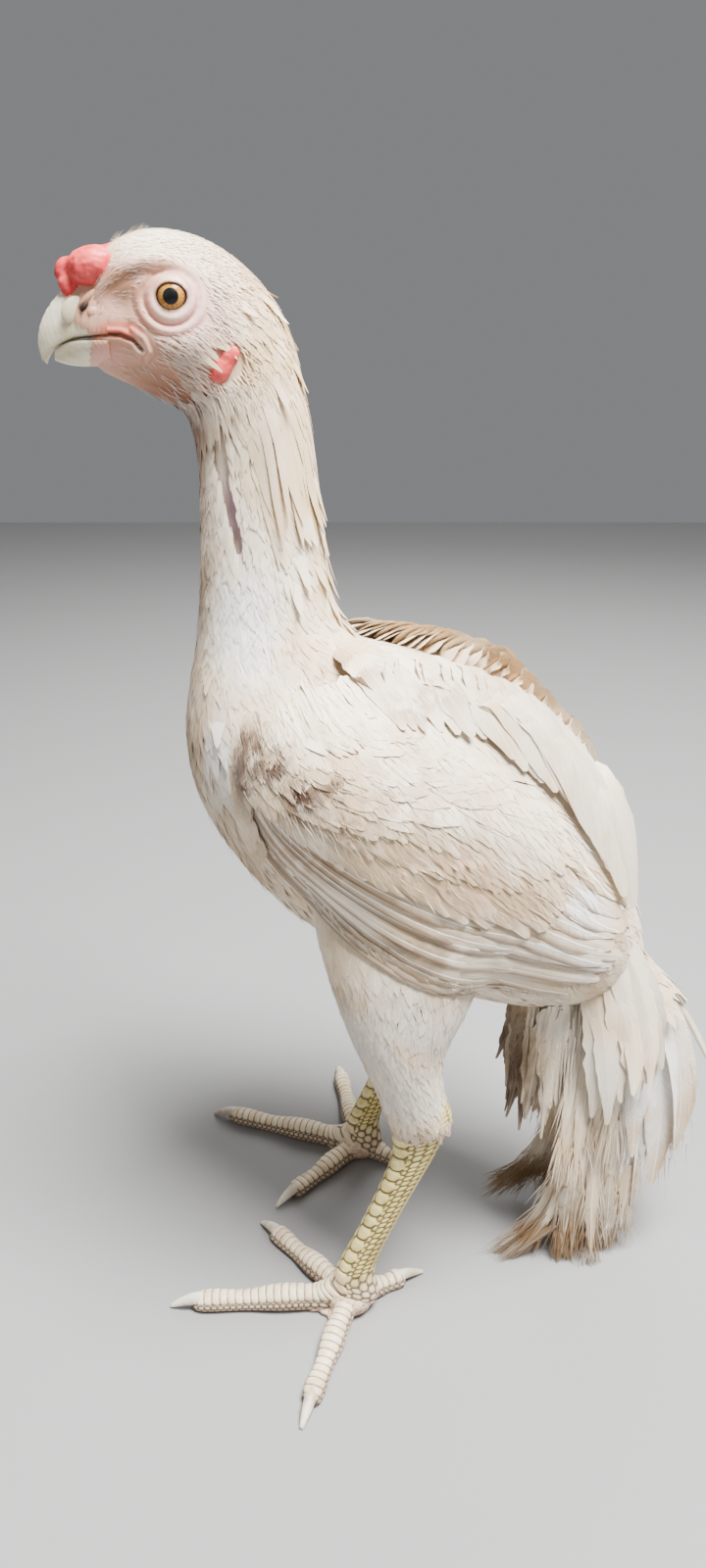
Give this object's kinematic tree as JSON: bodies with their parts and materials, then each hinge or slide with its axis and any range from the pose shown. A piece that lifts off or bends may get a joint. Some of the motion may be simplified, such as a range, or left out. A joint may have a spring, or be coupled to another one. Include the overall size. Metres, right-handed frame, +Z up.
{
  "type": "aseel rooster, standing museum model",
  "caption": "Life-size standing aseel rooster with folded feathered wings, drooping tail, scuted legs and hooked beak.",
  "frame": {"origin": "on the floor, below the centre of the bounding box", "axes": "+Z up along the standing height; the bird faces -X and its own left side is -Y"},
  "size_m": [0.3894, 0.3203, 0.5966],
  "materials": {
    "feather_white": "matte",
    "feather_cream": "matte",
    "face_skin": "matte",
    "comb_red": "satin",
    "horn": "satin",
    "eye_amber": "gloss",
    "shank_yellow": "satin",
    "toe_cream": "satin",
    "claw_horn": "satin"
  },
  "bodies": {
    "root": {"beak_lower": "horn", "beak_upper": "horn", "claw_left_hind": "claw_horn", "claw_left_inner": "claw_horn", "claw_left_middle": "claw_horn", "claw_left_outer": "claw_horn", "claw_right_hind": "claw_horn", "claw_right_inner": "claw_horn", "claw_right_middle": "claw_horn", "claw_right_outer": "claw_horn", "comb": "comb_red", "earlobe_left": "comb_red", "earlobe_right": "comb_red", "eye_left": "eye_amber", "eye_right": "eye_amber", "foot_left": "toe_cream", "foot_right": "toe_cream", "head": "face_skin", "neck": "feather_cream", "shank_left": "shank_yellow", "shank_right": "shank_yellow", "tail": "feather_white", "thigh_left": "feather_white", "thigh_right": "feather_white", "toe_left_hind": "toe_cream", "toe_left_inner": "toe_cream", "toe_left_middle": "toe_cream", "toe_left_outer": "toe_cream", "toe_right_hind": "toe_cream", "toe_right_inner": "toe_cream", "toe_right_middle": "toe_cream", "toe_right_outer": "toe_cream", "torso": "feather_white", "wing_left": "feather_white", "wing_right": "feather_white"}
  },
  "joints": []
}
